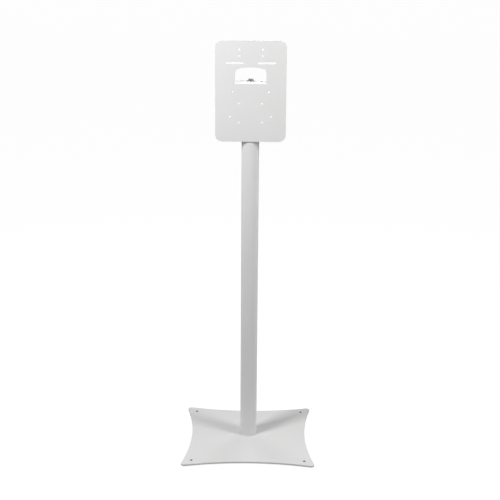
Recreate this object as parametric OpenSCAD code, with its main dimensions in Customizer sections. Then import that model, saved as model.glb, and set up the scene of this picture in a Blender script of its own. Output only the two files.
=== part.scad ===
// Free-standing post: a waisted steel base plate on rubber feet, a round column and a
// sheet-metal mounting plate whose folded tab is clamped on the column's top by one bolt.
// Millimetres, +Z up, front towards -Y, origin on the floor under the base plate's centre.

/* [Base plate] */
// Width between the corners, measured before they are rounded
base_w = 400; // [320:5:520]
// How far each side bows inward at its middle
base_bow = 26; // [10:1:40]
// Radius of the rounded corners
base_corner_r = 10; // [5:1:20]
// Thickness of the base plate
base_t = 5; // [4:0.5:10]

/* [Feet] */
// Distance of each foot from the unrounded corner, along both sides
foot_inset = 33; // [27:1:50]
// Diameter of a rubber foot where it meets the base plate
foot_d = 22; // [18:1:30]
// Height of a rubber foot
foot_h = 6; // [5:0.5:12]
// How much narrower a foot is at the floor
foot_taper = 2; // [0:0.5:5]
// Thread diameter of the screw that holds a foot
foot_screw_d = 4; // [3:0.5:5]
// How high the nut sits above the floor, in its pocket in the foot
foot_nut_z = 1.5; // [0.5:0.5:2]

/* [Column] */
// Outer diameter of the column tube
tube_od = 50; // [42:1:60]
// Wall thickness of the column tube
tube_wall = 2; // [1.5:0.1:3]
// How far the column stands behind the middle of the base plate
column_setback = 15; // [0:1:40]
// Thickness of the plugs welded into the tube's two ends
plug_t = 15; // [12:1:25]
// Thread diameter of the screws that hold the base plate to the lower plug
base_screw_d = 6; // [5:1:8]
// How deep those screws reach into the lower plug
base_screw_grip = 11; // [8:1:12]

/* [Cable way] */
// Diameter of the two holes in the rear of the tube
cable_hole_d = 20; // [16:1:26]
// Bore of the rubber grommets in those holes
grommet_bore_d = 12; // [8:1:14]
// How far a grommet's rims stand out past its hole
grommet_rim = 3; // [2:0.5:4]
// Thickness of a grommet's rims
grommet_rim_t = 2; // [1.5:0.5:3]
// Height of the cable inlet above the floor
inlet_z = 80; // [60:5:300]
// Distance of the cable outlet below the mounting plate
outlet_drop = 35; // [25:5:200]

/* [Mounting plate] */
// Width of the mounting plate
plate_w = 200; // [165:5:300]
// Height of the mounting plate
plate_h = 285; // [280:5:400]
// Sheet thickness of the mounting plate
plate_t = 2.5; // [2:0.1:4]
// Radius of the mounting plate's corners
plate_corner_r = 20; // [5:1:40]
// Height of the mounting plate's lower edge above the floor
plate_z = 937; // [700:1:1200]
// Width of the window left by the folded tab
window_w = 87; // [80:1:110]
// Height of the window above the tab
window_h = 43.5; // [36:0.5:50]
// Height of the tab's top above the mounting plate's lower edge
sill_h = 167.5; // [155:0.5:170]
// Radius of the window's upper corners and of the tab's rear corners
window_corner_r = 9; // [4:1:12]
// Radius of the shallow arch along the window's top and the tab's rear edge
window_arch_r = 140; // [100:5:400]
// Inner radius of the fold
bend_r = 1; // [0.5:0.5:2]
// Width of the relief slot at each end of the fold
relief_w = 2; // [1:0.5:3]
// Thickness of the friction washer under the tab, at least the fold's inner radius
friction_t = 2; // [2:0.5:4]

/* [Fixing holes] */
// Diameter of the round fixing holes
fix_hole_d = 5.5; // [4:0.5:7]
// Spacing of the two upper and the two lower pairs
pair_gap = 66; // [50:1:80]
// Height of the uppermost pair above the plate's lower edge
top_pair_h = 261; // [255:1:265]
// Height of the pair between it and the long slots
upper_pair_h = 243; // [235:1:245]
// Height of the pair in the middle of the plate's lower half
lower_pair_h = 109; // [100:1:115]
// Height of the lowest pair
bottom_pair_h = 55; // [40:1:60]
// Spacing of the wide pair
wide_gap = 116; // [90:1:140]
// Height of the wide pair
wide_h = 72; // [65:1:95]
// Spacing of the pair under the window
middle_gap = 102; // [80:1:140]
// Height of the pair under the window
middle_h = 142; // [125:1:148]
// Centre spacing of the two long slots
slot_gap = 89; // [70:1:100]
// Height of the long slots
slot_h = 223; // [220:1:228]
// Length of a long slot, end to end
slot_len = 52; // [20:1:60]
// Width of a long slot
slot_w = 5; // [3:0.5:7]

/* [Head fixing] */
// Thread diameter of the bolt that clamps the tab on the column
bolt_d = 8; // [6:1:10]
// How deep that bolt reaches into the upper plug
bolt_grip = 13; // [8:1:15]
// Thread diameter of the earthing stud pressed into the tab
earth_d = 5; // [4:1:6]
// Length of the earthing stud's thread below the tab
earth_len = 10; // [8:1:14]

/* [Hidden] */

$fn = 96;
fine_fn = 360;        // for the large, shallow arcs
cut = 1;              // how far a cutting shape runs past the face that it cuts
lap = 0.01;           // how far two shapes of one solid run into each other
thread_gap = 0.05;    // radial gap of a screw in its thread
hole_gap = 0.2;       // radial gap of a screw or washer that only passes through
pivot_gap = 0.1;      // radial gap of the clamping bolt in the tab that turns about it
plug_gap = 0.05;      // radial gap of a plug or a grommet in its hole
plate_gap = 0.3;      // gap between the column and what turns about it
csk_sink = 0.15;      // how far a countersunk head lies below the surface
bend_factor = 0.4;    // where the sheet keeps its length in the fold, as a share of its thickness

// Standard proportions of fasteners, from the thread diameter d.
function hex_af(d) = 1.5 * d + 1;
function nut_h(d) = 0.8 * d;
function bolt_head_h(d) = 0.66 * d;
function washer_od(d) = 2 * d;
function washer_t(d) = 0.2 * d;
function wide_washer_od(d) = 3 * d;
function wide_washer_t(d) = 0.25 * d;
function csk_head_d(d) = 1.9 * d;
function socket_af(d) = 0.63 * d;
function socket_depth(d) = 0.4 * d;
function corner_d(af) = af / cos(30);

// The base plate's waisted outline: four large arcs, joined by the corner circles that touch them.
base_half = base_w / 2;
side_r = (base_half * base_half + base_bow * base_bow) / (2 * base_bow);
side_c = base_half - base_bow + side_r;
corner_c = (side_c - sqrt(2 * pow(side_r + base_corner_r, 2) - side_c * side_c)) / 2;
touch_x = corner_c * side_r / (side_r + base_corner_r);
touch_y = side_c - (side_c - corner_c) * side_r / (side_r + base_corner_r);
corner_cut = touch_x + touch_y;
base_top = foot_h + base_t;
foot_pos = base_half - foot_inset;
foot_screw_tail = 0.8;          // how far a foot's screw ends above the floor

tube_id = tube_od - 2 * tube_wall;
plug_d = tube_id - 2 * plug_gap;
base_screw_r = tube_id / 2 - base_screw_d - 1;
outlet_z = plate_z - outlet_drop;

// The tab lies on a friction washer on the column's end. The washer is narrower than the tube by
// the fold's inner radius all round, so it stays clear of the fold.
friction_d = tube_od - 2 * bend_r;
sill_z = plate_z + sill_h;
tab_under_z = sill_z - plate_t;
tube_top_z = tab_under_z - friction_t;
plate_back_y = column_setback - tube_od / 2 - plate_gap;
plate_front_y = plate_back_y - plate_t;
bend_out_r = bend_r + plate_t;
fold_h = sill_h - bend_out_r;

// The tab is what was cut from the window, so its reach follows from the window's height.
fold_allowance = PI / 2 * (bend_r + bend_factor * plate_t);
tab_reach = window_h + 2 * bend_out_r - fold_allowance;
tab_w = window_w - relief_w;

earth_x = tube_od / 2 + corner_d(hex_af(earth_d)) / 2 + 1.5;
earth_head_d = 1.6 * earth_d;
earth_head_t = 0.3 * earth_d;

// ---- shared shapes ----

module ring(od, id, h) {
  difference() {
    cylinder(d = od, h = h);
    translate([0, 0, -cut]) cylinder(d = id, h = h + 2 * cut);
  }
}

module hexagon(af, h) {
  cylinder(d = corner_d(af), h = h, $fn = 6);
}

// A 90 degree countersunk cone with its wide end at z = 0, pointing down.
module csk_cone(d_wide, d_narrow) {
  h = (d_wide - d_narrow) / 2;
  translate([0, 0, -h]) cylinder(d1 = d_narrow, d2 = d_wide, h = h);
}

// A countersunk screw with its flat head at z = 0, pointing down.
module csk_screw(d, length) {
  difference() {
    union() {
      csk_cone(csk_head_d(d), d);
      translate([0, 0, -length]) cylinder(d = d, h = length);
    }
    translate([0, 0, -socket_depth(d)]) hexagon(socket_af(d), socket_depth(d) + cut);
  }
}

// The hole that takes a countersunk screw whose head lies just below z = 0.
module csk_hole(d, depth) {
  clear_d = d + 2 * hole_gap;
  mouth_d = csk_head_d(d) + 2 * hole_gap;
  translate([0, 0, -csk_sink]) csk_cone(mouth_d, clear_d);
  translate([0, 0, -csk_sink - lap]) cylinder(d = mouth_d, h = csk_sink + lap + cut);
  translate([0, 0, -depth]) cylinder(d = clear_d, h = depth);
}

module hex_nut(d) {
  difference() {
    hexagon(hex_af(d), nut_h(d));
    translate([0, 0, -cut]) cylinder(d = d + 2 * thread_gap, h = nut_h(d) + 2 * cut);
  }
}

module at_foot(side, end) {
  translate([side * foot_pos, end * foot_pos, 0]) children();
}

module at_column() {
  translate([0, column_setback, 0]) children();
}

module at_base_screw(turn) {
  at_column() rotate(turn) translate([0, -base_screw_r, 0]) children();
}

// ---- base ----

module base_outline() {
  difference() {
    intersection() {
      square(base_w, center = true);
      rotate(45) square(corner_cut * sqrt(2), center = true);
    }
    for (turn = [0:90:270])
      rotate(turn) translate([0, -side_c]) circle(r = side_r, $fn = fine_fn);
  }
  for (turn = [0:90:270])
    rotate(turn) translate([corner_c, corner_c]) circle(r = base_corner_r);
}

module base_plate() {
  color("gainsboro") difference() {
    translate([0, 0, foot_h]) linear_extrude(base_t) base_outline();
    for (side = [-1, 1], end = [-1, 1])
      at_foot(side, end) translate([0, 0, base_top]) csk_hole(foot_screw_d, base_t + cut);
    for (turn = [0:90:270])
      at_base_screw(turn) translate([0, 0, foot_h]) mirror([0, 0, 1]) csk_hole(base_screw_d, base_t + cut);
  }
}

module rubber_foot(side, end) {
  pocket_h = foot_nut_z + nut_h(foot_screw_d);
  color("dimgray") at_foot(side, end) difference() {
    cylinder(d1 = foot_d - foot_taper, d2 = foot_d, h = foot_h);
    translate([0, 0, -cut]) cylinder(d = foot_screw_d + 2 * hole_gap, h = foot_h + 2 * cut);
    translate([0, 0, -cut]) hexagon(hex_af(foot_screw_d) + hole_gap, pocket_h + cut);
  }
}

module foot_screw(side, end) {
  head_z = base_top - csk_sink;
  color("black") at_foot(side, end) translate([0, 0, head_z])
    csk_screw(foot_screw_d, head_z - foot_screw_tail);
}

module foot_nut(side, end) {
  color("silver") at_foot(side, end) translate([0, 0, foot_nut_z]) hex_nut(foot_screw_d);
}

// ---- column ----

// A round bar that leaves the column's axis backwards.
module rear_bar(z, d) {
  at_column() translate([0, 0, z]) rotate([-90, 0, 0]) cylinder(d = d, h = tube_od);
}

module column_tube() {
  color("whitesmoke") difference() {
    at_column() translate([0, 0, base_top]) ring(tube_od, tube_id, tube_top_z - base_top);
    rear_bar(inlet_z, cable_hole_d);
    rear_bar(outlet_z, cable_hole_d);
  }
}

module column_base_plug() {
  color("silver") difference() {
    at_column() translate([0, 0, base_top]) cylinder(d = plug_d, h = plug_t);
    for (turn = [0:90:270])
      at_base_screw(turn) translate([0, 0, base_top - cut])
        cylinder(d = base_screw_d + 2 * thread_gap, h = plug_t + 2 * cut);
  }
}

module base_screw(turn) {
  color("silver") at_base_screw(turn) translate([0, 0, foot_h + csk_sink]) mirror([0, 0, 1])
    csk_screw(base_screw_d, base_t - csk_sink + base_screw_grip);
}

module column_top_plug() {
  color("silver") at_column() translate([0, 0, tube_top_z - plug_t])
    ring(plug_d, bolt_d + 2 * thread_gap, plug_t);
}

// The stretch of a rear bar between two radii about the column's axis.
module bar_between(inner_r, outer_r, z, d) {
  intersection() {
    rear_bar(z, d);
    at_column() translate([0, 0, z - d]) ring(2 * outer_r, 2 * inner_r, 2 * d);
  }
}

module cable_grommet(z) {
  outside = tube_od / 2;
  inside = tube_id / 2;
  rim_d = cable_hole_d + 2 * grommet_rim;
  color("dimgray") difference() {
    union() {
      bar_between(outside, outside + grommet_rim_t, z, rim_d);
      bar_between(inside - grommet_rim_t, outside + grommet_rim_t, z, cable_hole_d - 2 * plug_gap);
      bar_between(inside - grommet_rim_t, inside, z, rim_d);
    }
    rear_bar(z, grommet_bore_d);
  }
}

module friction_washer() {
  color("black") at_column() translate([0, 0, tube_top_z])
    ring(friction_d, bolt_d + 2 * hole_gap, friction_t);
}

module head_bolt() {
  head_h = bolt_head_h(bolt_d);
  af = hex_af(bolt_d);
  below = bolt_grip + friction_t + plate_t + wide_washer_t(bolt_d);
  chamfer_h = head_h - (corner_d(af) - af) / 2;
  color("silver") at_column() translate([0, 0, sill_z + wide_washer_t(bolt_d)]) {
    intersection() {
      hexagon(af, head_h);
      union() {
        cylinder(d = corner_d(af) + lap, h = chamfer_h);
        translate([0, 0, chamfer_h]) cylinder(d1 = corner_d(af) + lap, d2 = af - lap, h = head_h - chamfer_h);
      }
    }
    translate([0, 0, -below]) cylinder(d = bolt_d, h = below + lap);
  }
}

module head_bolt_washer() {
  color("silver") at_column() translate([0, 0, sill_z])
    ring(wide_washer_od(bolt_d), bolt_d + 2 * hole_gap, wide_washer_t(bolt_d));
}

// ---- head ----

module plate_outline() {
  inner_x = plate_w / 2 - plate_corner_r;
  translate([-inner_x, 0]) square([2 * inner_x, plate_h]);
  translate([-plate_w / 2, plate_corner_r]) square([plate_w, plate_h - 2 * plate_corner_r]);
  for (x = [-inner_x, inner_x], z = [plate_corner_r, plate_h - plate_corner_r])
    translate([x, z]) circle(r = plate_corner_r);
}

// A tongue that starts at y = 0 and ends at y = reach in a shallow arch with rounded corners.
// The window and the folded tab are both made with it.
module tongue(width, reach) {
  corner_x = width / 2 - window_corner_r;
  arch_c = reach - window_arch_r;
  corner_y = arch_c + sqrt(pow(window_arch_r - window_corner_r, 2) - corner_x * corner_x);
  shoulder_x = corner_x * window_arch_r / (window_arch_r - window_corner_r);
  intersection() {
    translate([0, arch_c]) circle(r = window_arch_r, $fn = fine_fn);
    translate([-shoulder_x, 0]) square([2 * shoulder_x, reach]);
  }
  translate([-width / 2, 0]) square([width, corner_y]);
  for (x = [-corner_x, corner_x]) translate([x, corner_y]) circle(r = window_corner_r);
}

module hole_pair(gap, h) {
  for (x = [-gap / 2, gap / 2]) translate([x, h]) circle(d = fix_hole_d);
}

module long_slot() {
  end_x = (slot_len - slot_w) / 2;
  square([2 * end_x, slot_w], center = true);
  for (x = [-end_x, end_x]) translate([x, 0]) circle(d = slot_w);
}

module fold_relief() {
  circle(d = relief_w);
  translate([-relief_w / 2, 0]) square([relief_w, bend_out_r]);
}

module plate_cutouts() {
  for (h = [bottom_pair_h, lower_pair_h, upper_pair_h, top_pair_h]) hole_pair(pair_gap, h);
  hole_pair(wide_gap, wide_h);
  hole_pair(middle_gap, middle_h);
  for (x = [-slot_gap / 2, slot_gap / 2]) translate([x, slot_h]) long_slot();
  translate([0, fold_h]) tongue(window_w, bend_out_r + window_h);
  for (side = [-1, 1]) translate([side * (tab_w + relief_w) / 2, fold_h]) fold_relief();
}

// A quarter of a bent sheet, from the upright plate to the level tab.
module fold() {
  translate([-tab_w / 2, plate_front_y + bend_out_r, sill_z - bend_out_r]) intersection() {
    rotate([0, 90, 0]) ring(2 * bend_out_r, 2 * bend_r, tab_w);
    translate([0, -bend_out_r, 0]) cube([tab_w, bend_out_r, bend_out_r]);
  }
}

module tab() {
  translate([0, plate_front_y, tab_under_z]) linear_extrude(plate_t) intersection() {
    tongue(tab_w, tab_reach);
    translate([-tab_w / 2, bend_out_r]) square([tab_w, tab_reach]);
  }
}

module mounting_plate() {
  color("whitesmoke") difference() {
    union() {
      translate([0, plate_back_y, plate_z]) rotate([90, 0, 0]) linear_extrude(plate_t) difference() {
        plate_outline();
        plate_cutouts();
      }
      fold();
      tab();
    }
    at_column() translate([0, 0, tab_under_z - cut])
      cylinder(d = bolt_d + 2 * pivot_gap, h = plate_t + 2 * cut);
    at_earth_stud() translate([0, 0, -plate_t - cut])
      cylinder(d = earth_d + 2 * plug_gap, h = plate_t + 2 * cut);
    at_earth_stud() translate([0, 0, -earth_head_t])
      cylinder(d = earth_head_d + 2 * plug_gap, h = earth_head_t + cut);
  }
}

// On the tab's top, beside the column.
module at_earth_stud() {
  at_column() translate([earth_x, 0, sill_z]) children();
}

// A press-in stud: its flat head lies flush in the tab and its thread points down.
module earth_stud() {
  color("silver") at_earth_stud() {
    translate([0, 0, -earth_head_t]) cylinder(d = earth_head_d, h = earth_head_t);
    translate([0, 0, -plate_t - earth_len]) cylinder(d = earth_d, h = plate_t + earth_len - earth_head_t + lap);
  }
}

module earth_washer() {
  color("silver") at_earth_stud() translate([0, 0, -plate_t - washer_t(earth_d)])
    ring(washer_od(earth_d), earth_d + 2 * hole_gap, washer_t(earth_d));
}

module earth_nut() {
  color("silver") at_earth_stud() translate([0, 0, -plate_t - washer_t(earth_d) - nut_h(earth_d)])
    hex_nut(earth_d);
}

// ---- the nodes ----

base_plate();

rubber_foot(-1, -1);  // rubber_foot_front_left
rubber_foot(1, -1);  // rubber_foot_front_right
rubber_foot(-1, 1);  // rubber_foot_rear_left
rubber_foot(1, 1);  // rubber_foot_rear_right

foot_screw(-1, -1);  // foot_screw_front_left
foot_screw(1, -1);  // foot_screw_front_right
foot_screw(-1, 1);  // foot_screw_rear_left
foot_screw(1, 1);  // foot_screw_rear_right

foot_nut(-1, -1);  // foot_nut_front_left
foot_nut(1, -1);  // foot_nut_front_right
foot_nut(-1, 1);  // foot_nut_rear_left
foot_nut(1, 1);  // foot_nut_rear_right

column_tube();
column_base_plug();
column_top_plug();

base_screw(0);  // base_screw_front
base_screw(90);  // base_screw_right
base_screw(180);  // base_screw_rear
base_screw(270);  // base_screw_left

cable_grommet(inlet_z);  // cable_inlet_grommet
cable_grommet(outlet_z);  // cable_outlet_grommet

friction_washer();
head_bolt();
head_bolt_washer();

mounting_plate();
earth_stud();
earth_washer();
earth_nut();
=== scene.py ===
# %% [markdown]
# # A free-standing charger pedestal
# The real thing is three powder-coated steel parts: a waisted base plate, a round column and a
# bent sheet-metal head plate. Small zinc, black steel, rubber and nylon parts hold them together.
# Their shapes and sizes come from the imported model, so this script only adds what the model leaves
# out: softened edges, the weld at the column's foot, the thread of the earthing stud, and the
# finish of each surface.

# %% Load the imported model
import math

import bmesh
import bpy
from mathutils import Matrix, Vector, noise


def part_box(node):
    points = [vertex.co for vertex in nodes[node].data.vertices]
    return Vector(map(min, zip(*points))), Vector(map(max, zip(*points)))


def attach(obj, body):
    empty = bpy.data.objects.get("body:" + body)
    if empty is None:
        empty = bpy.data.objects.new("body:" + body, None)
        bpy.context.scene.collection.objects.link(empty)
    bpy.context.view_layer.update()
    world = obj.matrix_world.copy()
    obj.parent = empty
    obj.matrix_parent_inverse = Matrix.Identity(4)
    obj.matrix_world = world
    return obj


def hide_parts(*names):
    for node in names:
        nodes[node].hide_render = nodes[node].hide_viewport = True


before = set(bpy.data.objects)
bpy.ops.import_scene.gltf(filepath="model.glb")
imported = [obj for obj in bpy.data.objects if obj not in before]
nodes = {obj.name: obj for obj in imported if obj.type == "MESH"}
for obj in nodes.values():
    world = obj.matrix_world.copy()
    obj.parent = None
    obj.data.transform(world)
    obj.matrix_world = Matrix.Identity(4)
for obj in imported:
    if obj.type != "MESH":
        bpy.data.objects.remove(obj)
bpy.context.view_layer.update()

# %% [markdown]
# ## Measures that everything else is placed by
# Every place below is worked out from the boxes of the real pieces. Places could be typed in as
# numbers instead, but they would go wrong as soon as the model changed. Lengths are metres, and a
# millimetre is named once.

# %% Read the main measures from the model
MM = 0.001
FULL_TURN = 2 * math.pi

base_low, base_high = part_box("base_plate")
tube_low, tube_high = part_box("column_tube")

base_top = base_high.z
tube_radius = (tube_high.x - tube_low.x) / 2
column_y = (tube_low.y + tube_high.y) / 2
print("base plate thickness", round(base_top - base_low.z, 4))
print("column radius", round(tube_radius, 4), "column axis at y", round(column_y, 4))

# %% [markdown]
# ## Shader helpers
# A material in Blender is a graph of nodes joined by wires. The graph could be drawn by hand in the
# editor, but written as code it can be read, changed and rerun. Writing `link(a, b)` for each wire
# is easier to read than the full call, and `add_node` sets a node's values as it makes it.

# %% Helpers for node trees


def add_node(tree, kind, **values):
    """Adds a node and sets its sockets by name, or its own settings where no socket has the name."""
    node = tree.nodes.new(kind)
    for name, value in values.items():
        label = name.replace("_", " ")
        if label in node.inputs:
            node.inputs[label].default_value = value
        else:
            setattr(node, name, value)
    return node


def link(tree, out_socket, in_socket):
    """Joins two sockets with a wire."""
    tree.links.new(out_socket, in_socket)


def math_node(tree, operation, a, b):
    """One calculation on two inputs. Each input is a number or a socket."""
    node = tree.nodes.new("ShaderNodeMath")
    node.operation = operation
    for index, value in enumerate((a, b)):
        if isinstance(value, (int, float)):
            node.inputs[index].default_value = value
        else:
            link(tree, value, node.inputs[index])
    return node.outputs[0]


def remap(tree, value, from_low=0.0, from_high=1.0, to_low=0.0, to_high=1.0):
    """Stretches a value from one range to another, clamped at both ends."""
    node = add_node(tree, "ShaderNodeMapRange", clamp=True)
    limits = {"From Min": from_low, "From Max": from_high, "To Min": to_low, "To Max": to_high}
    for label, limit in limits.items():
        node.inputs[label].default_value = limit
    link(tree, value, node.inputs["Value"])
    return node.outputs["Result"]


# %% [markdown]
# ## Node groups
# Paint, plating and rubber all have some relief, some unevenness and slightly rubbed edges. The
# same nodes could be copied into every material, but then each later change is made many times. A
# node group is built once and placed in each material with its own values. A group only puts out
# values, and the material decides what they do to colour, roughness or bump.

# %% Helpers for node groups


def new_group(name, inputs, outputs):
    """Makes an empty shader node group with named sockets, and returns it with its two end nodes."""
    group = bpy.data.node_groups.new(name, "ShaderNodeTree")
    for label, kind, value in inputs:
        socket = group.interface.new_socket(label, in_out="INPUT", socket_type=kind)
        socket.default_value = value
    for label, kind in outputs:
        group.interface.new_socket(label, in_out="OUTPUT", socket_type=kind)
    return group, group.nodes.new("NodeGroupInput"), group.nodes.new("NodeGroupOutput")


def place_group(tree, group, **values):
    """Puts a node group into a material, with this material's own values."""
    node = tree.nodes.new("ShaderNodeGroup")
    node.node_tree = group
    for name, value in values.items():
        node.inputs[name.replace("_", " ")].default_value = value
    return node


def surface_place(group):
    """The place of a point on the piece, in metres, so that patterns have a real size."""
    return add_node(group, "ShaderNodeTexCoord").outputs["Object"]


def set_pattern_size(group, pattern, size):
    """A pattern's Scale counts repeats in a metre, so a size in metres is turned upside down."""
    link(group, math_node(group, "DIVIDE", 1.0, size), pattern.inputs["Scale"])


def describe(group):
    """Prints the names of a group's sockets."""
    print(group.name, "sockets:", [socket.name for socket in group.interface.items_tree])


# %% [markdown]
# ## Relief
# A sprayed coat dries with long, shallow waves, called orange peel, and a moulded part copies the
# grain of its mould. The relief could be real geometry, but at a tenth of a millimetre that needs
# millions of faces. Two noise textures of different size give a height for a Bump node instead.

# %% Relief: the skin of a sprayed or moulded surface


def build_skin_relief():
    """Two sizes of bumps: the long waves of orange peel and the fine grain on top of them."""
    group, start, end = new_group(
        "skin_relief",
        [("Wave Size", "NodeSocketFloat", 1.5 * MM), ("Grain Size", "NodeSocketFloat", 0.3 * MM),
         ("Grain Share", "NodeSocketFloat", 0.3)],
        [("Height", "NodeSocketFloat")],
    )
    place = surface_place(group)
    heights = []
    for label, detail in (("Wave Size", 1.5), ("Grain Size", 2.0)):
        bumps = add_node(group, "ShaderNodeTexNoise", Detail=detail, Roughness=0.5)
        link(group, place, bumps.inputs["Vector"])
        set_pattern_size(group, bumps, start.outputs[label])
        heights.append(bumps.outputs["Fac"])
    waves, grain = heights
    scaled_grain = math_node(group, "MULTIPLY", grain, start.outputs["Grain Share"])
    link(group, math_node(group, "ADD", waves, scaled_grain), end.inputs["Height"])
    return group


skin_relief = build_skin_relief()
describe(skin_relief)

# %% [markdown]
# ## Unevenness
# No large surface has exactly one tone: a coat is thicker here and thinner there, and hands leave
# soft smudges. An image of smudges could be wrapped round the part, but its seams would show.
# Noise in three dimensions runs through the whole part with no seam. A little distortion keeps the
# smudges from looking like clouds.

# %% Unevenness: slow drifts in tone and the soft marks of handling


def build_uneven_tone():
    """Slow, cloudy drift over a hand's width, and smaller smudges inside it."""
    group, start, end = new_group(
        "uneven_tone",
        [("Cloud Size", "NodeSocketFloat", 0.15), ("Smudge Size", "NodeSocketFloat", 0.03)],
        [("Cloud", "NodeSocketFloat"), ("Smudge", "NodeSocketFloat")],
    )
    place = surface_place(group)
    for kind, detail, distortion in (("Cloud", 2.0, 0.3), ("Smudge", 4.0, 1.2)):
        drift = add_node(
            group, "ShaderNodeTexNoise", Detail=detail, Roughness=0.55, Distortion=distortion
        )
        link(group, place, drift.inputs["Vector"])
        set_pattern_size(group, drift, start.outputs[kind + " Size"])
        contrast = remap(group, drift.outputs["Fac"], from_low=0.3, from_high=0.7)
        link(group, contrast, end.inputs[kind])
    return group


uneven_tone = build_uneven_tone()
describe(uneven_tone)

# %% [markdown]
# ## Edges
# A coating pulls thin on a sharp edge and is the first place to be rubbed. The edges could be
# painted by hand, point by point. Here the Bevel node does it: it gives the normal that the surface
# would have with rounded edges, and that differs from the true normal only near an edge. A noise
# pattern then breaks the rubbed line into patches, as real wear is never even.

# %% Edges: where a coating is thin or rubbed


def build_edge_rub():
    """Compares the true normal with one rounded over a small radius: they differ only near edges."""
    group, start, end = new_group(
        "edge_rub",
        [("Reach", "NodeSocketFloat", 0.8 * MM), ("Patch Size", "NodeSocketFloat", 4 * MM),
         ("Amount", "NodeSocketFloat", 0.5)],
        [("Edge", "NodeSocketFloat"), ("Rubbed", "NodeSocketFloat")],
    )
    rounded = add_node(group, "ShaderNodeBevel", samples=6)
    link(group, start.outputs["Reach"], rounded.inputs["Radius"])
    true_normal = add_node(group, "ShaderNodeNewGeometry").outputs["Normal"]
    match = add_node(group, "ShaderNodeVectorMath", operation="DOT_PRODUCT")
    link(group, rounded.outputs["Normal"], match.inputs[0])
    link(group, true_normal, match.inputs[1])
    edge = remap(group, match.outputs["Value"], from_low=0.995, from_high=0.85)

    patches = add_node(group, "ShaderNodeTexNoise", Detail=5.0, Roughness=0.65)
    link(group, surface_place(group), patches.inputs["Vector"])
    set_pattern_size(group, patches, start.outputs["Patch Size"])
    broken = remap(group, patches.outputs["Fac"], from_low=0.48, from_high=0.62)
    rubbed = math_node(group, "MULTIPLY", edge, broken)
    link(group, edge, end.inputs["Edge"])
    link(group, math_node(group, "MULTIPLY", rubbed, start.outputs["Amount"]), end.inputs["Rubbed"])
    return group


edge_rub = build_edge_rub()
describe(edge_rub)

# %% [markdown]
# ## Specks
# A few grains of dust are caught in a coat before it sets, and rubber holds pale grit. They could
# be scattered as separate tiny objects, but they are far too small for that. A Voronoi texture
# divides space into cells, and keeping only the middle of some cells leaves sparse round dots.

# %% Specks: fine dust caught in a coating, or grit in rubber


def build_fine_specks():
    """Keeps the middle of a few cells of a Voronoi pattern, so that sparse round dots are left."""
    group, start, end = new_group(
        "fine_specks",
        [("Spacing", "NodeSocketFloat", 6 * MM), ("Dot Share", "NodeSocketFloat", 0.06),
         ("Kept Share", "NodeSocketFloat", 0.3)],
        [("Specks", "NodeSocketFloat")],
    )
    cells = add_node(group, "ShaderNodeTexVoronoi", Randomness=1.0)
    link(group, surface_place(group), cells.inputs["Vector"])
    set_pattern_size(group, cells, start.outputs["Spacing"])
    dot = math_node(group, "LESS_THAN", cells.outputs["Distance"], start.outputs["Dot Share"])
    cell_color = add_node(group, "ShaderNodeSeparateColor")
    link(group, cells.outputs["Color"], cell_color.inputs["Color"])
    kept = math_node(group, "LESS_THAN", cell_color.outputs["Red"], start.outputs["Kept Share"])
    link(group, math_node(group, "MULTIPLY", dot, kept), end.inputs["Specks"])
    return group


fine_specks = build_fine_specks()
describe(fine_specks)

# %% [markdown]
# ## Tool marks
# Rolling, drawing and turning all leave fine lines that run one way. The lines could be a Wave
# texture, but that repeats too evenly. Here the place is squeezed along two directions before it
# reaches a noise texture, so each grain of the noise becomes a wide, thin flake, which shows on an
# upright face as a fine level line.

# %% Tool marks: the fine lines of turned or rolled metal


def build_tool_marks():
    """Noise squeezed along X and Y, which leaves thin level lines on upright faces."""
    group, start, end = new_group(
        "tool_marks",
        [("Mark Width", "NodeSocketFloat", 0.12 * MM), ("Stretch", "NodeSocketFloat", 0.04)],
        [("Marks", "NodeSocketFloat")],
    )
    squeeze = add_node(group, "ShaderNodeMapping")
    link(group, surface_place(group), squeeze.inputs["Vector"])
    size = add_node(group, "ShaderNodeCombineXYZ", Z=1.0)
    for direction in ("X", "Y"):
        link(group, start.outputs["Stretch"], size.inputs[direction])
    link(group, size.outputs["Vector"], squeeze.inputs["Scale"])
    lines = add_node(group, "ShaderNodeTexNoise", Detail=3.0, Roughness=0.6)
    link(group, squeeze.outputs["Vector"], lines.inputs["Vector"])
    set_pattern_size(group, lines, start.outputs["Mark Width"])
    link(group, lines.outputs["Fac"], end.inputs["Marks"])
    return group


tool_marks = build_tool_marks()
describe(tool_marks)

# %% [markdown]
# ## Mixing colours and starting a material
# Each finish below starts the same way: a new material with a Principled BSDF, the shader that
# covers most real surfaces. What is the same all over a surface, such as the metallic value, is
# typed into the shader itself. What changes over it arrives by a wire.

# %% Helpers for materials
# The Mix node keeps one set of sockets for each kind of value. These are the ones for colours.
FIRST_COLOR = 6
SECOND_COLOR = 7
MIXED_COLOR = 2


def new_finish(name, **values):
    """A material with one Principled BSDF. Returns the material, its tree and the shader node."""
    finish = bpy.data.materials.new(name)
    finish.use_nodes = True
    tree = finish.node_tree
    tree.nodes.clear()
    shader = add_node(tree, "ShaderNodeBsdfPrincipled", **values)
    output = tree.nodes.new("ShaderNodeOutputMaterial")
    link(tree, shader.outputs["BSDF"], output.inputs["Surface"])
    return finish, tree, shader


def blend_colors(tree, share, first, second):
    """Mixes two colours. Each is a tuple or a socket, and share is a socket from 0 to 1."""
    mix = add_node(tree, "ShaderNodeMix", data_type="RGBA")
    link(tree, share, mix.inputs["Factor"])
    for index, color in ((FIRST_COLOR, first), (SECOND_COLOR, second)):
        socket = mix.inputs[index]
        if isinstance(color, tuple):
            socket.default_value = (*color, 1.0)
        else:
            link(tree, color, socket)
    return mix.outputs[MIXED_COLOR]


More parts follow.
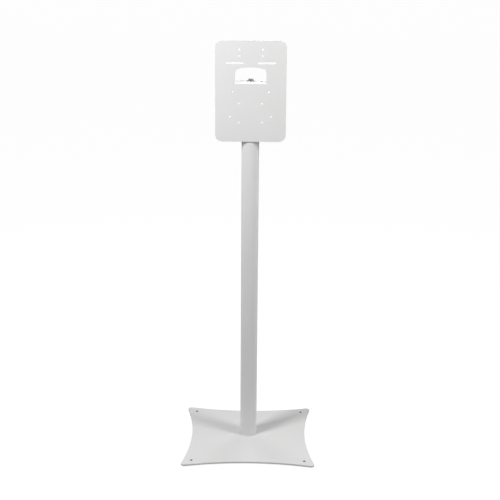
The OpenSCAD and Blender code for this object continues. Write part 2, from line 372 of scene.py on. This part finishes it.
def set_gloss(tree, shader, tone, smoothest, roughest):
    """Lets the smudges carry the roughness from one value to another."""
    gloss = remap(tree, tone.outputs["Smudge"], to_low=smoothest, to_high=roughest)
    link(tree, gloss, shader.inputs["Roughness"])
    return gloss


def add_bump(tree, shader, height, depth, strength):
    """Feeds a height into the shader's normal. depth is the real depth of the relief in metres."""
    bump = add_node(tree, "ShaderNodeBump", Strength=strength, Distance=depth)
    link(tree, height, bump.inputs["Height"])
    link(tree, bump.outputs["Normal"], shader.inputs["Normal"])


def describe_finish(finish):
    """Prints how many nodes a material took."""
    print(finish.name, "nodes:", len(finish.node_tree.nodes))


# %% [markdown]
# ## White powder coat
# Powder is sprayed on dry and baked, so it flows into a skin with a faint orange peel. It is thick
# on the flats and pulls thin at sharp edges, where the steel greys it a little. The gloss is
# satin. A single white could be typed in, but a large sheet would then look like plastic film. The
# variation is only a percent or two, because a real coat hardly varies either.

# %% White powder coat
COAT_SHADE = (0.800, 0.800, 0.795)
COAT_LIGHT = (0.822, 0.822, 0.820)
COAT_THIN = (0.770, 0.772, 0.770)
COAT_RUBBED = (0.60, 0.60, 0.59)
COAT_DUST = (0.52, 0.51, 0.49)
COAT_EDGE_DULLING = 0.08


def build_powder_coat():
    finish, tree, shader = new_finish("white_powder_coat", Metallic=0.0, IOR=1.5)
    tone = place_group(tree, uneven_tone, Cloud_Size=0.22, Smudge_Size=0.035)
    rub = place_group(tree, edge_rub, Reach=0.9 * MM, Patch_Size=3 * MM, Amount=0.35)
    specks = place_group(tree, fine_specks, Spacing=9 * MM, Dot_Share=0.018, Kept_Share=0.22)
    skin = place_group(tree, skin_relief, Wave_Size=1.7 * MM, Grain_Size=0.28 * MM, Grain_Share=0.18)

    clean = blend_colors(tree, tone.outputs["Cloud"], COAT_SHADE, COAT_LIGHT)
    thin = blend_colors(tree, rub.outputs["Edge"], clean, COAT_THIN)
    worn = blend_colors(tree, rub.outputs["Rubbed"], thin, COAT_RUBBED)
    dusty = blend_colors(tree, specks.outputs["Specks"], worn, COAT_DUST)
    link(tree, dusty, shader.inputs["Base Color"])

    gloss = remap(tree, tone.outputs["Smudge"], to_low=0.38, to_high=0.46)
    dulled = math_node(tree, "MULTIPLY", rub.outputs["Edge"], COAT_EDGE_DULLING)
    link(tree, math_node(tree, "ADD", gloss, dulled), shader.inputs["Roughness"])
    add_bump(tree, shader, skin.outputs["Height"], depth=0.03 * MM, strength=0.6)
    return finish


powder_coat = build_powder_coat()
describe_finish(powder_coat)

# %% [markdown]
# ## Bright zinc
# The bolt, washers and most of the nuts and screws are electroplated. Zinc is a little blue, and it
# dulls in patches where it was handled. The fine marks under it come from rolling and cutting the
# steel. A plain grey metal would do from afar, but the bolt is what the eye goes to in the window.

# %% Bright zinc
ZINC_DULL = (0.60, 0.61, 0.63)
ZINC_FRESH = (0.72, 0.72, 0.72)
ZINC_RUBBED = (0.86, 0.85, 0.83)


def build_zinc():
    finish, tree, shader = new_finish("bright_zinc", Metallic=1.0)
    tone = place_group(tree, uneven_tone, Cloud_Size=0.012, Smudge_Size=0.003)
    rub = place_group(tree, edge_rub, Reach=0.35 * MM, Patch_Size=1.2 * MM, Amount=0.8)
    marks = place_group(tree, tool_marks, Mark_Width=0.10 * MM, Stretch=0.05)

    plated = blend_colors(tree, tone.outputs["Cloud"], ZINC_DULL, ZINC_FRESH)
    worn = blend_colors(tree, rub.outputs["Rubbed"], plated, ZINC_RUBBED)
    link(tree, worn, shader.inputs["Base Color"])
    set_gloss(tree, shader, tone, smoothest=0.22, roughest=0.38)
    add_bump(tree, shader, marks.outputs["Marks"], depth=0.02 * MM, strength=0.35)
    return finish


zinc = build_zinc()
describe_finish(zinc)

# %% [markdown]
# ## Bare turned steel
# The two plugs are sawn from bar, faced on a lathe and left bare. They are darker than zinc, with
# coarser marks and a touch of brown where they have begun to rust. The rust could be a layer of its
# own, but it only tints the highest smudges, so one more colour is enough.

# %% Bare turned steel
STEEL_DARK = (0.42, 0.41, 0.40)
STEEL_LIGHT = (0.54, 0.53, 0.52)
RUST = (0.24, 0.15, 0.10)


def build_bare_steel():
    finish, tree, shader = new_finish("bare_turned_steel", Metallic=1.0)
    tone = place_group(tree, uneven_tone, Cloud_Size=0.03, Smudge_Size=0.006)
    marks = place_group(tree, tool_marks, Mark_Width=0.25 * MM, Stretch=0.08)

    steel = blend_colors(tree, tone.outputs["Cloud"], STEEL_DARK, STEEL_LIGHT)
    rusting = remap(tree, tone.outputs["Smudge"], from_low=0.75, to_high=0.5)
    link(tree, blend_colors(tree, rusting, steel, RUST), shader.inputs["Base Color"])
    set_gloss(tree, shader, tone, smoothest=0.34, roughest=0.55)
    add_bump(tree, shader, marks.outputs["Marks"], depth=0.05 * MM, strength=0.5)
    return finish


bare_steel = build_bare_steel()
describe_finish(bare_steel)

# %% [markdown]
# ## Blackened steel
# The screws over the feet are black oxide: the steel itself turned dark and oiled. It is nearly
# black with a warm cast, and it shows bright steel only at rubbed edges. Black paint would be a
# simpler material, but it lacks the dull metal glint, so the metallic value is set part way.

# %% Blackened steel
OXIDE_DARK = (0.014, 0.012, 0.011)
OXIDE_LIGHT = (0.026, 0.022, 0.020)
OXIDE_RUBBED = (0.16, 0.15, 0.14)


def build_black_oxide():
    finish, tree, shader = new_finish("black_oxide", Metallic=0.6)
    tone = place_group(tree, uneven_tone, Cloud_Size=0.008, Smudge_Size=0.002)
    rub = place_group(tree, edge_rub, Reach=0.2 * MM, Patch_Size=0.8 * MM, Amount=0.5)
    skin = place_group(tree, skin_relief, Wave_Size=0.4 * MM, Grain_Size=0.1 * MM, Grain_Share=0.4)

    oxide = blend_colors(tree, tone.outputs["Cloud"], OXIDE_DARK, OXIDE_LIGHT)
    worn = blend_colors(tree, rub.outputs["Rubbed"], oxide, OXIDE_RUBBED)
    link(tree, worn, shader.inputs["Base Color"])
    set_gloss(tree, shader, tone, smoothest=0.42, roughest=0.60)
    add_bump(tree, shader, skin.outputs["Height"], depth=0.015 * MM, strength=0.4)
    return finish


black_oxide = build_black_oxide()
describe_finish(black_oxide)

# %% [markdown]
# ## Rubber and nylon
# Both are black and matt, but rubber blooms: a grey, dusty film that shows as pale specks and along
# its edges. Nylon is smoother, with a slight sheen from the mould. Two separate materials could be
# written, but they differ only in tone, gloss and grain, so one recipe makes both.

# %% Moulded rubber and nylon
POLYMER_GRIT = (0.10, 0.098, 0.094)
POLYMER_RUBBED = (0.075, 0.074, 0.072)
WAVES_PER_GRAIN = 4


def build_black_polymer(name, dark, light, smoothest, roughest, grain, depth):
    """One recipe for both: their tone, gloss, grain size and depth of relief are passed in."""
    finish, tree, shader = new_finish(name, Metallic=0.0, IOR=1.45)
    tone = place_group(tree, uneven_tone, Cloud_Size=0.02, Smudge_Size=0.004)
    rub = place_group(tree, edge_rub, Reach=0.6 * MM, Patch_Size=2 * MM, Amount=0.4)
    specks = place_group(tree, fine_specks, Spacing=2.5 * MM, Dot_Share=0.05, Kept_Share=0.25)
    wave = grain * WAVES_PER_GRAIN
    skin = place_group(tree, skin_relief, Wave_Size=wave, Grain_Size=grain, Grain_Share=0.6)

    body = blend_colors(tree, tone.outputs["Cloud"], dark, light)
    gritty = blend_colors(tree, specks.outputs["Specks"], body, POLYMER_GRIT)
    worn = blend_colors(tree, rub.outputs["Rubbed"], gritty, POLYMER_RUBBED)
    link(tree, worn, shader.inputs["Base Color"])
    set_gloss(tree, shader, tone, smoothest, roughest)
    add_bump(tree, shader, skin.outputs["Height"], depth, strength=0.5)
    return finish


rubber = build_black_polymer(
    "black_rubber",
    dark=(0.016, 0.016, 0.017),
    light=(0.036, 0.035, 0.034),
    smoothest=0.62,
    roughest=0.85,
    grain=0.15 * MM,
    depth=0.05 * MM,
)
nylon = build_black_polymer(
    "black_nylon",
    dark=(0.020, 0.020, 0.021),
    light=(0.028, 0.028, 0.029),
    smoothest=0.38,
    roughest=0.52,
    grain=0.08 * MM,
    depth=0.02 * MM,
)
describe_finish(rubber)
describe_finish(nylon)

# %% [markdown]
# ## Softened edges
# No made edge is perfectly sharp: laser-cut sheet has its burr ground off, and paint rounds it
# further. The edges could be rounded in the model itself, but a Bevel modifier does it without
# touching the model's own mesh. The imported mesh is split along its edges, so a Weld modifier
# joins it first, and a Weighted Normal modifier keeps the large faces flat in the light.

# %% Helpers that soften and paint a piece
SEAM_GAP = 0.002 * MM
BEVEL_FROM_ANGLE = 35
STRONGEST_FACE_WEIGHT = 100


def soften(name, width, segments=3):
    """Rounds a model piece's sharp edges by width, in metres, and returns the piece."""
    piece = nodes[name]
    weld = piece.modifiers.new("join_seams", "WELD")
    weld.merge_threshold = SEAM_GAP
    bevel = piece.modifiers.new("soft_edges", "BEVEL")
    bevel.width = width
    bevel.segments = segments
    bevel.limit_method = "ANGLE"
    bevel.angle_limit = math.radians(BEVEL_FROM_ANGLE)
    bevel.use_clamp_overlap = True
    bevel.harden_normals = False
    weighted = piece.modifiers.new("flat_faces", "WEIGHTED_NORMAL")
    weighted.keep_sharp = False
    weighted.weight = STRONGEST_FACE_WEIGHT
    return piece


def paint(piece, finish):
    """Gives every material slot of a piece the same finish."""
    if not piece.data.materials:
        piece.data.materials.append(finish)
    for index in range(len(piece.data.materials)):
        piece.data.materials[index] = finish


# %% [markdown]
# ## A finish for every piece
# Each piece gets the finish that its real counterpart has, and a rounding that suits how it was
# made: wide on moulded rubber, narrow on small turned parts. A table of names, finishes and
# roundings is easier to check against the real parts list than a call for each piece.

# %% Give each piece its finish and its rounding
finishes = {
    "base_plate": (powder_coat, 0.6 * MM),
    "column_tube": (powder_coat, 0.4 * MM),
    "mounting_plate": (powder_coat, 0.45 * MM),
    "column_base_plug": (bare_steel, 0.4 * MM),
    "column_top_plug": (bare_steel, 0.4 * MM),
    "cable_inlet_grommet": (rubber, 0.5 * MM),
    "cable_outlet_grommet": (rubber, 0.5 * MM),
    "friction_washer": (nylon, 0.3 * MM),
    "head_bolt": (zinc, 0.25 * MM),
    "head_bolt_washer": (zinc, 0.3 * MM),
    "earth_stud": (zinc, 0.15 * MM),
    "earth_washer": (zinc, 0.15 * MM),
    "earth_nut": (zinc, 0.2 * MM),
}
for corner in ("front_left", "front_right", "rear_left", "rear_right"):
    finishes["rubber_foot_" + corner] = (rubber, 0.8 * MM)
    finishes["foot_screw_" + corner] = (black_oxide, 0.15 * MM)
    finishes["foot_nut_" + corner] = (zinc, 0.15 * MM)
for side in ("front", "right", "rear", "left"):
    finishes["base_screw_" + side] = (zinc, 0.15 * MM)

for name, (finish, edge) in finishes.items():
    paint(soften(name, edge), finish)
print("finished pieces:", len(finishes), "of", len(nodes))

# %% [markdown]
# ## Weld at the column's foot
# The column is welded to the base plate all round, and the bead is ground to a small hollow fillet
# before painting, so it reads as a soft bright line. A torus would give an even ring, but it would
# bulge outward. Here one hollow profile is turned about the column's axis, and noise makes the
# ring slightly uneven, as grinding by hand does.

# %% The weld's profile
FILLET = 3.0 * MM
SLOW_WAVER = 0.12
SLOW_WAVES = 3.0
QUICK_WAVER = 0.05
QUICK_WAVES = 17.0


def weld_size(direction):
    """The weld's leg in one direction from the column's axis, with its waver."""
    slow = noise.noise(direction * SLOW_WAVES) * SLOW_WAVER
    quick = noise.noise(direction * QUICK_WAVES) * QUICK_WAVER
    return FILLET * (1 + slow + quick)


def weld_profile(direction, steps):
    """Points of the hollow fillet in one direction, from the tube's wall out and up again."""
    size = weld_size(direction)
    points = [direction * tube_radius]
    for step in range(steps + 1):
        sweep = math.pi / 2 * step / steps
        out = size * (1 - math.sin(sweep))
        rise = size * (1 - math.cos(sweep))
        points.append(direction * (tube_radius + out) + Vector((0, 0, rise)))
    return points


# %% Foot weld


def place_mesh(name, mesh):
    """Turns a bmesh into an object in the scene."""
    bmesh.ops.recalc_face_normals(mesh, faces=mesh.faces)
    data = bpy.data.meshes.new(name)
    mesh.to_mesh(data)
    mesh.free()
    piece = bpy.data.objects.new(name, data)
    bpy.context.scene.collection.objects.link(piece)
    return piece


def build_foot_weld(turns=240, steps=8):
    """Joins one profile after another into a closed ring. Its two flat sides stay flat-shaded."""
    mesh = bmesh.new()
    foot = Vector((0, column_y, base_top))
    rings = []
    for index in range(turns):
        angle = FULL_TURN * index / turns
        direction = Vector((math.sin(angle), -math.cos(angle), 0))
        rings.append([mesh.verts.new(point + foot) for point in weld_profile(direction, steps)])
    count = len(rings[0])
    for index, near in enumerate(rings):
        far = rings[(index + 1) % turns]
        for k in range(count):
            after = (k + 1) % count
            face = mesh.faces.new((near[k], far[k], far[after], near[after]))
            face.smooth = 0 < k < count - 1
    return place_mesh("foot_weld", mesh)


foot_weld = build_foot_weld()
paint(foot_weld, powder_coat)
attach(foot_weld, "stand")
print("weld leg", FILLET, "faces", len(foot_weld.data.polygons))

# %% [markdown]
# ## Earthing stud
# The earthing stud is pressed into the tab from above, so only its flat head shows on top, and a
# rolled M5 thread hangs below with its washer and nut. The model has a plain pin there. A thread
# can be made with the Screw modifier, but its start and end then need cleaning up. Here rings of
# points are stacked down the pin, and each point's radius follows a wave that climbs one pitch for
# each turn. The wave meets itself exactly, so the skin is closed with no seam.

# %% The stud's thread
THREAD_RADIUS = 2.5 * MM
THREAD_PITCH = 0.8 * MM
THREAD_DEPTH = 0.49 * MM
CREST_SHARE = 0.15
FLANK_SHARE = 0.6


def thread_wave(climb):
    """The depth of a rolled thread, 0 on its flat crest and 1 in its root, over one pitch."""
    share = abs((climb % 1.0) - 0.5) * 2
    return min(1.0, max(0.0, (share - CREST_SHARE) / FLANK_SHARE))


# %% The stud's outline, ring by ring
STUD_HEAD = 1.5 * MM
STUD_GRIP = 2.5 * MM
HEAD_ROUNDING = 0.15 * MM
TIP_CUT = 1.3 * THREAD_DEPTH

stud_low, stud_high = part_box("earth_stud")


def stud_rings(around=40, per_pitch=8):
    """Lists rings from the head down. Each is a depth below the head's top and a radius by angle."""
    head_radius = (stud_high.x - stud_low.x) / 2
    length = stud_high.z - stud_low.z
    rings = [
        (0.0, [head_radius - HEAD_ROUNDING] * around),
        (HEAD_ROUNDING, [head_radius] * around),
        (STUD_HEAD, [head_radius] * around),
        (STUD_HEAD, [THREAD_RADIUS] * around),
    ]
    step = THREAD_PITCH / per_pitch
    for row in range(int((length - STUD_GRIP) / step) + 1):
        depth = STUD_GRIP + row * step
        run_out = min(1.0, (length - depth) / THREAD_PITCH)
        run_in = min(1.0, row / per_pitch)
        radii = []
        for index in range(around):
            groove = thread_wave(depth / THREAD_PITCH + index / around) * run_in
            radii.append(THREAD_RADIUS - THREAD_DEPTH * max(groove, 1.0 - run_out))
        rings.append((depth, radii))
    rings.append((length, [THREAD_RADIUS - TIP_CUT] * around))
    return rings


# %% Threaded stud
STUD_SHARP_ANGLE = 40


def build_threaded_stud():
    """Skins the rings and closes both ends."""
    center_x = (stud_low.x + stud_high.x) / 2
    center_y = (stud_low.y + stud_high.y) / 2
    mesh = bmesh.new()
    loops = []
    for depth, radii in stud_rings():
        loop = []
        for index, radius in enumerate(radii):
            angle = FULL_TURN * index / len(radii)
            x = center_x + radius * math.cos(angle)
            y = center_y + radius * math.sin(angle)
            loop.append(mesh.verts.new((x, y, stud_high.z - depth)))
        loops.append(loop)
    for upper, lower in zip(loops, loops[1:]):
        for index in range(len(upper)):
            after = (index + 1) % len(upper)
            mesh.faces.new((upper[index], lower[index], lower[after], upper[after]))
    mesh.faces.new(loops[0])
    mesh.faces.new(reversed(loops[-1]))
    piece = place_mesh("threaded_stud", mesh)
    piece.data.shade_smooth()
    piece.data.set_sharp_from_angle(angle=math.radians(STUD_SHARP_ANGLE))
    return piece


threaded_stud = build_threaded_stud()
paint(threaded_stud, zinc)
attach(threaded_stud, "head")
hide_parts("earth_stud")
print("thread turns:", round((stud_high.z - stud_low.z - STUD_GRIP) / THREAD_PITCH, 1))

# %% [markdown]
# ## A pale floor
# The finish of a white object is judged by its shading, so the light that reaches it has to stay
# directional. A plain white floor would bounce so much light back that the shading fills in. The
# Light Path node solves this: what the camera sees is nearly white paper, while the light that
# bounces comes from a mid-grey floor. This belongs to the studio, not to the object.

# %% Floor
PAPER_SEEN = 0.10
PAPER_GLOW = 0.97
PAPER_BOUNCE = 0.45


def grey(value):
    """A colour with no hue."""
    return (value, value, value)


def build_floor(half=40.0):
    """One large square at height zero. half is half its width in metres."""
    data = bpy.data.meshes.new("studio_floor")
    corners = [(-half, -half, 0), (half, -half, 0), (half, half, 0), (-half, half, 0)]
    data.from_pydata(corners, [], [(0, 1, 2, 3)])
    floor = bpy.data.objects.new("studio_floor", data)
    bpy.context.scene.collection.objects.link(floor)
    finish, tree, shader = new_finish("floor_paper", Roughness=0.9, Emission_Strength=1.0)
    seen = add_node(tree, "ShaderNodeLightPath").outputs["Is Camera Ray"]
    paper = blend_colors(tree, seen, grey(PAPER_BOUNCE), grey(PAPER_SEEN))
    glow = blend_colors(tree, seen, grey(0.0), grey(PAPER_GLOW))
    link(tree, paper, shader.inputs["Base Color"])
    link(tree, glow, shader.inputs["Emission Color"])
    data.materials.append(finish)
    return floor


floor = build_floor()
print("floor width:", floor.dimensions.x)

# %% [markdown]
# ## A dim room
# The world around the scene lights the object from every side. Left bright, it would wash out the
# shadows, and left black, the background would be black too. The same Light Path trick gives the
# camera a white wall, gives glossy surfaces a dim one to mirror, and adds no other light.

# %% Surround
ROOM_SEEN = 0.98
ROOM_GLOSS = 0.2
ROOM_DIM = 0.0


def build_surround():
    """A world that the camera, reflections and bounced light each see differently."""
    surround = bpy.data.worlds.new("surround")
    surround.use_nodes = True
    tree = surround.node_tree
    path = add_node(tree, "ShaderNodeLightPath")
    bounced = blend_colors(tree, path.outputs["Is Glossy Ray"], grey(ROOM_DIM), grey(ROOM_GLOSS))
    shade = blend_colors(tree, path.outputs["Is Camera Ray"], bounced, grey(ROOM_SEEN))
    link(tree, shade, tree.nodes["Background"].inputs["Color"])
    return surround


bpy.context.scene.world = build_surround()
print("surround seen by the camera:", ROOM_SEEN, "in reflections:", ROOM_GLOSS)

# %% [markdown]
# ## Soft boxes
# Two compact boxes stand in front, well above the post's head. The key, at the front left, is the
# strongest, and it throws the column's shadow across the base plate to the right and rear. The
# fill, at the front right, throws a second, fainter one. Each has a weak neighbour lower down. One
# wide box would be simpler, but because these are compact, the head plate also throws a crisp
# crescent of shadow on the column just below it. A small box close above and behind the head lights
# the tab and the bolt, which the plate would otherwise shade. The rest is a weak box overhead, side
# boxes that lift the column's edges, and two at the rear.

# %% Soft boxes
SOFT_BOXES = {
    "key_box": dict(bearing=-50, distance=1.5, height=2.0, aim_height=0.8, size=0.5, power=24.0),
    "near_key_box": dict(bearing=-50, distance=1.2, height=1.4, aim_height=0.8, size=0.5, power=3.8),
    "fill_box": dict(bearing=60, distance=1.5, height=2.0, aim_height=0.8, size=0.5, power=13.6),
    "near_fill_box": dict(bearing=60, distance=1.2, height=1.4, aim_height=0.8, size=0.5, power=3.7),
    "top_box": dict(bearing=0, distance=0.05, height=3.0, aim_height=0.0, size=1.6, power=2.5),
    "head_box": dict(bearing=180, distance=0.25, height=1.55, aim_height=1.1, size=0.3, power=2.2),
    "right_box": dict(bearing=90, distance=1.6, height=0.45, aim_height=0.3, size=0.8, power=5.0),
    "left_box": dict(bearing=-90, distance=2.0, height=1.0, aim_height=0.7, size=1.2, power=2.5),
    "rear_right_box": dict(bearing=150, distance=2.0, height=1.3, aim_height=1.0, size=0.9, power=6.0),
    "rear_left_box": dict(bearing=-150, distance=2.0, height=1.3, aim_height=1.0, size=0.9, power=6.0),
}


def add_soft_box(name, bearing, distance, height, aim_height, size, power):
    """A square light. Its bearing is in degrees from straight in front, positive to the right."""
    lamp = bpy.data.lights.new(name, "AREA")
    lamp.shape = "SQUARE"
    lamp.size = size
    lamp.energy = power
    box = bpy.data.objects.new(name, lamp)
    box.visible_camera = False
    bpy.context.scene.collection.objects.link(box)
    turn = math.radians(bearing)
    box.location = (distance * math.sin(turn), -distance * math.cos(turn), height)
    aim = Vector((0, 0, aim_height)) - box.location
    box.rotation_euler = aim.to_track_quat("-Z", "Y").to_euler()


for name, values in SOFT_BOXES.items():
    add_soft_box(name, **values)
total_power = sum(values["power"] for values in SOFT_BOXES.values())
print("soft boxes:", len(SOFT_BOXES), "watts in all:", round(total_power, 1))

# %% [markdown]
# ## Camera
# The camera stands a little over three metres in front, at eye height, and looks down on the post
# with a short telephoto lens. A wide lens from nearer would swell the head plate and shrink the
# base. The camera is turned by fractions of a degree, as a hand-set tripod is.

# %% Camera
SENSOR_MM = 36.0
LENS_MM = 82.36
FARTHEST_SEEN = 200


def add_camera(right, distance, height, pitch, heading, roll):
    """A camera that looks down by pitch. Lengths are metres, and angles are radians."""
    data = bpy.data.cameras.new("camera")
    data.sensor_width = SENSOR_MM
    data.lens = LENS_MM
    data.clip_end = FARTHEST_SEEN
    camera = bpy.data.objects.new("camera", data)
    bpy.context.scene.collection.objects.link(camera)
    camera.location = (right, -distance, height)
    tilt = Matrix.Rotation(math.pi / 2 - pitch, 3, "X")
    turn = Matrix.Rotation(heading, 3, "Z") @ tilt @ Matrix.Rotation(roll, 3, "Z")
    camera.rotation_euler = turn.to_euler()
    return camera


camera = add_camera(
    right=0.024, distance=3.2068, height=1.6142, pitch=0.3032, heading=0.0071, roll=0.0073
)
bpy.context.scene.camera = camera
bpy.context.scene.view_settings.view_transform = "Standard"
print("camera looks down by", round(90 - math.degrees(camera.rotation_euler.x), 1), "degrees")
